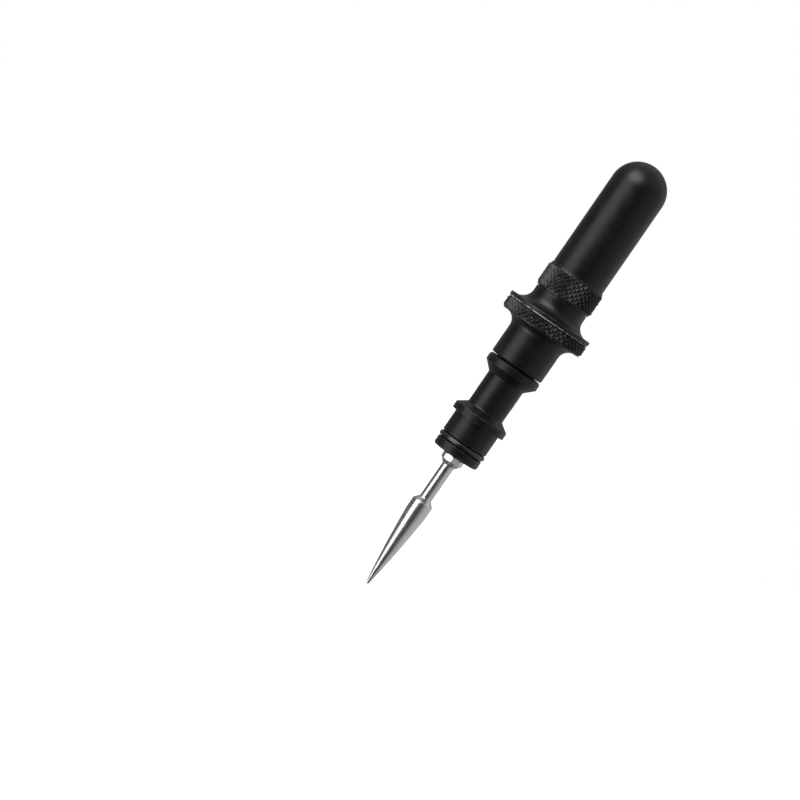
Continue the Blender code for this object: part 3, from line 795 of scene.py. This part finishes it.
# The loaded plug's path: up one side of the needle, round a bend into the slot, and the same mirrored.
loaded_r = 0.75
loaded_lay = 3.4
cross_z = slot_low + loaded_r + 1.2
bend_r = 1.7
tail_y = needle_r + loaded_r + 0.35
tail_low = 105.5
tail_length = cross_z - bend_r - tail_low
tail_steps = 24
loop = [Vector((0, tail_y, tail_low + tail_length * i / tail_steps)) for i in range(tail_steps)]
loop += [Vector((0, y, z)) for y, z in sweep_arc(tail_y - bend_r, cross_z - bend_r, bend_r, 0, 90, 8)]
loop += [Vector((0, -point.y, point.z)) for point in reversed(loop)]
loaded = rope("loaded_rope", loop, loaded_r - 0.01, loaded_lay)
hand_over(loaded, "fork", plug_rope, "plug_rubber", "loaded_plug")


# ---- Cap ----------------------------------------------------------------------------------------
# The domed grip that covers the fork, turned from 18 mm bar and bored out, with a knurled ring round
# its mouth. It pushes over the hub's O-ring. Bead blasted and anodised as the holder.

cap_low, cap_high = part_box("cap_shell")
cap_r = 8.0
cap_bore_r = 6.9
mouth_z = cap_low.z / MM
mouth_r = 8.2
dome_z = cap_high.z / MM - cap_r
ring_r = 8.75
ring_valley_r = ring_r - 0.46
ring_root_r = ring_valley_r - 0.02
ring_shoulder_r = 8.25
ring_top = mouth_z + 7.4
ring_band_z = mouth_z + 0.5
cap_below = sweep_arc(0, dome_z, cap_bore_r, 90, 0, 24)
cap_below += rounded([
    (cap_bore_r, dome_z - 1, 0), (cap_bore_r, mouth_z, 0.2), (mouth_r, mouth_z, 0.12),
    (ring_root_r, mouth_z + 0.3, 0),
])
cap_above = rounded([
    (ring_root_r, ring_top - 0.3, 0), (ring_shoulder_r, ring_top, 0.12), (cap_r, ring_top, 0.08),
    (cap_r, ring_top + 1.0, 0),
])
cap_above += sweep_arc(0, dome_z, cap_r, 0, 90, 30)
cap = knurled("cap_grip", cap_below, cap_above, ring_valley_r, ring_band_z,
              rows=4, columns=33, facets=132, height=0.41)
mark_worn_edges(cap)
hand_over(cap, "cap", anodised, "black_anodised_aluminium", "cap_shell")


# ---- Cap pad ------------------------------------------------------------------------------------
# A cushion of grey silicone, moulded to the dome and pressed into it, with a shallow dish in its face
# so that the fork's points never touch metal.

# Silicone rubber: milky grey, matt and dusty, with a soft mottle of about 2 mm.
silicone = bpy.data.materials.new("moulded_grey_silicone")
silicone.use_nodes = True
silicone_shader = silicone.node_tree.nodes["Principled BSDF"]
silicone_place = node(silicone, "TexCoord")
silicone_mottle = node(silicone, "TexNoise", {"Vector": silicone_place.outputs["Object"],
                                              "Scale": 0.6 / MM, "Detail": 4.0})
silicone_tone = node(silicone, "ValToRGB", {"Fac": silicone_mottle.outputs["Fac"]})
silicone_tone.color_ramp.elements[0].color = linear("#6d6e71")
silicone_tone.color_ramp.elements[1].color = linear("#94959a")
silicone_bump = node(silicone, "Bump", {"Height": silicone_mottle.outputs["Fac"], "Strength": 0.3,
                                        "Distance": 0.05 * MM})
silicone.node_tree.links.new(silicone_tone.outputs[0], silicone_shader.inputs["Base Color"])
silicone.node_tree.links.new(silicone_bump.outputs[0], silicone_shader.inputs["Normal"])
silicone_shader.inputs["Roughness"].default_value = 0.62

pad_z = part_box("cap_pad")[0].z / MM
pad_dome_r = 6.58
pad_edge_z = pad_z + 0.3
pad_edge = degrees(asin((pad_edge_z - dome_z) / pad_dome_r))
dish_depth = 0.35
dish_z = pad_z + dish_depth
pad_outline = [(0, dish_z), (2.5, dish_z), (3.0, dish_z - 0.05), (3.8, pad_z + 0.04), (4.0, pad_z)]
pad_outline += [(5.35, pad_z), (5.6, pad_z + 0.08)]
pad_outline += sweep_arc(0, dome_z, pad_dome_r, pad_edge, 90, 20)
pad = turned("cap_cushion", pad_outline, facets=96)
hand_over(pad, "dome_pad", silicone, "pad_silicone", "cap_pad")


# ---- Floor, light and camera --------------------------------------------------------------------
# A pale tabletop under the awl's point, a large softbox high on the left with a tall strip and a low
# card beside it, and a white studio room that is dim on the tool's front, so that round metal keeps
# its dark bands.

deselect()
floor_width = 3.0
bpy.ops.mesh.primitive_plane_add(size=floor_width)
floor = bpy.context.object
floor.name = "floor"

# Matt white, and lit from within to the white of the room, so that no edge shows between the two.
pale_top = bpy.data.materials.new("matt_white_tabletop")
pale_top.use_nodes = True
pale_shader = pale_top.node_tree.nodes["Principled BSDF"]
pale_shader.inputs["Base Color"].default_value = linear("#f4f4f4")
pale_shader.inputs["Roughness"].default_value = 0.9
pale_shader.inputs["Emission Color"].default_value = linear("#ffffff")
pale_shader.inputs["Emission Strength"].default_value = 0.92
floor.data.materials.append(pale_top)
floor.visible_glossy = False
floor.visible_diffuse = False
floor.visible_shadow = False

tool_middle = Vector((0, 0, 0.07))


def softbox(name, direction, distance, width, height, power):
    """A rectangular area light that faces the middle of the tool."""
    lamp = bpy.data.lights.new(name, "AREA")
    lamp.shape = "RECTANGLE"
    lamp.size = width
    lamp.size_y = height
    lamp.energy = power
    stand = bpy.data.objects.new(name, lamp)
    bpy.context.collection.objects.link(stand)
    stand.location = tool_middle + Vector(direction).normalized() * distance
    stand.visible_camera = False
    stand.rotation_euler = (stand.location - tool_middle).to_track_quat("Z", "Y").to_euler()


softbox("key_softbox", (-0.52, -0.50, 0.66), distance=0.6, width=0.48, height=0.34, power=3.6)
softbox("fill_strip", (-0.69, -0.54, 0.02), distance=0.6, width=0.46, height=0.6, power=2.15)
softbox("low_card", (-0.60, -0.42, -0.68), distance=0.5, width=0.3, height=0.2, power=1.2)

# The room's walls, as the tool mirrors them: brighter behind it, to its right and overhead. Seen
# directly, the room is plain white.
world = bpy.data.worlds.new("white_studio")
world.use_nodes = True
bpy.context.scene.world = world
room = world.node_tree.nodes["Background"]
room.inputs["Color"].default_value = (1.0, 1.0, 1.0, 1.0)
room_way = node(world, "TexCoord")
room_axes = node(world, "SeparateXYZ", {0: room_way.outputs["Generated"]})
room_back = node(world, "MapRange", {"Value": room_axes.outputs["Y"], "From Min": -0.2, "From Max": 0.95,
                                     "To Min": 0.07, "To Max": 0.3}, interpolation_type="SMOOTHSTEP")
room_right = node(world, "MapRange", {"Value": room_axes.outputs["X"], "From Min": 0.2, "From Max": 1.0,
                                      "To Min": 0.0, "To Max": 0.58}, interpolation_type="SMOOTHSTEP")
room_top = node(world, "MapRange", {"Value": room_axes.outputs["Z"], "From Min": 0.4, "From Max": 0.95,
                                    "To Min": 0.0, "To Max": 0.5}, interpolation_type="SMOOTHSTEP")
room_sides = node(world, "Math", {0: room_back.outputs[0], 1: room_right.outputs[0]}, operation="ADD")
room_sum = node(world, "Math", {0: room_sides.outputs[0], 1: room_top.outputs[0]}, operation="ADD")
seen = node(world, "LightPath")
room_level = node(world, "Mix", {0: seen.outputs["Is Camera Ray"], 2: room_sum.outputs[0], 3: 1.0},
                  data_type="FLOAT")
world.node_tree.links.new(room_level.outputs[0], room.inputs["Strength"])

# The camera is on the tool's front, tilted so that the tool leans over to the right.
eye = Vector((0.0001, -0.85, 0.0956))
aim = Vector((-0.0209, 0, 0.0464))
lean = radians(34.6)
forward = (aim - eye).normalized()
right = Vector((cos(lean), 0, sin(lean)))
right = (right - forward * right.dot(forward)).normalized()
over = right.cross(forward)
lens = bpy.data.cameras.new("camera")
lens.lens = 141
lens.sensor_width = 36
lens.clip_start = 0.01
camera = bpy.data.objects.new("camera", lens)
bpy.context.collection.objects.link(camera)
camera.matrix_world = Matrix((
    (right.x, over.x, -forward.x, eye.x), (right.y, over.y, -forward.y, eye.y),
    (right.z, over.z, -forward.z, eye.z), (0, 0, 0, 1),
))
bpy.context.scene.camera = camera
bpy.context.scene.view_settings.view_transform = "Standard"
